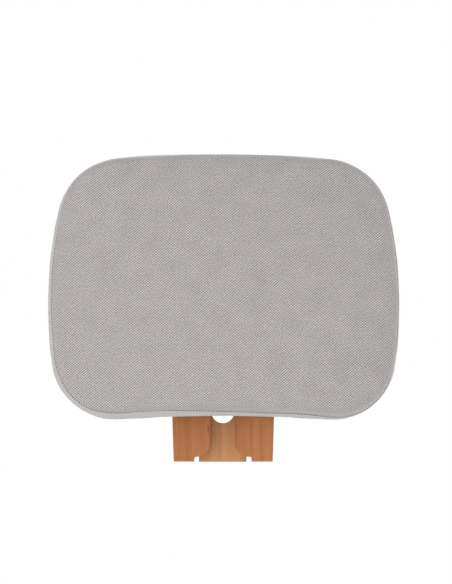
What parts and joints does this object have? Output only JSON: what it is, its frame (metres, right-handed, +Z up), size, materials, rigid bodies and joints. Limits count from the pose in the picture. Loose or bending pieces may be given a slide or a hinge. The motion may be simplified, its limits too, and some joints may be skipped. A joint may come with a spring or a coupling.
{
  "type": "chair backrest unit",
  "caption": "Upholstered backrest pad, crowned and round-cornered, tilting on a wooden fork plate that slides on a slotted wooden spine and is clamped by a star knob.",
  "frame": {"origin": "centre of the four threaded chair inserts, in the rear face of the spine", "axes": "+Z up along the spine, +Y to the rear out of the spine's rear face, +X to the right as seen from the front"},
  "size_m": [0.3992, 0.1482, 0.3502],
  "materials": {
    "twill": "light warm-grey twill upholstery",
    "band_cloth": "smooth light-grey woven band",
    "foam": "upholstery foam, filling the covers",
    "plywood": "raw moulded plywood",
    "front_wood": "oiled reddish beech, straight grain",
    "spine_wood": "oiled light beech, laminated strips",
    "block_wood": "oiled hardwood",
    "steel": "bright zinc-plated steel",
    "bracket_paint": "fine-textured black powder coat",
    "brass": "turned brass",
    "nylon": "natural nylon",
    "rubber": "black rubber",
    "knob_plastic": "black moulded plastic with a fine grain"
  },
  "bodies": {
    "spine": {"spine_slat": "spine_wood", "chair_inserts": "brass"},
    "fork": {"fork_plate": "front_wood", "fork_inserts": "brass", "slide_block": "block_wood", "block_screws": "steel", "clamp_bolt": "steel", "clamp_washer": "steel", "fork_bracket": "bracket_paint", "fork_bolts": "steel", "pivot_pin": "steel", "pin_clip": "steel", "rubber_bumpers": "rubber", "bumper_screws": "steel"},
    "pad": {"pad_bracket": "bracket_paint", "pad_bolts": "steel", "hinge_bushes": "nylon", "hinge_cleat": "plywood", "rear_cover": "twill", "back_board": "plywood", "tee_nuts": "steel", "foam_core": "foam", "front_cover": "twill", "side_band": "band_cloth"},
    "knob": {"star_knob": "knob_plastic", "knob_insert": "brass"}
  },
  "joints": [
    {"name": "height_slide", "type": "slide", "parent": "spine", "child": "fork", "axis": [0, 0, 1], "range_m": [-0.02, 0.05]},
    {"name": "pad_tilt", "type": "hinge", "parent": "fork", "child": "pad", "pos_m": [0, -0.0505, 0.176], "axis": [1, 0, 0], "range_deg": [-10, 10]},
    {"name": "knob_turn", "type": "hinge", "parent": "fork", "child": "knob", "pos_m": [0, 0.0036, 0.0651], "axis": [0, 1, 0], "range_deg": [-360, 0]}
  ]
}
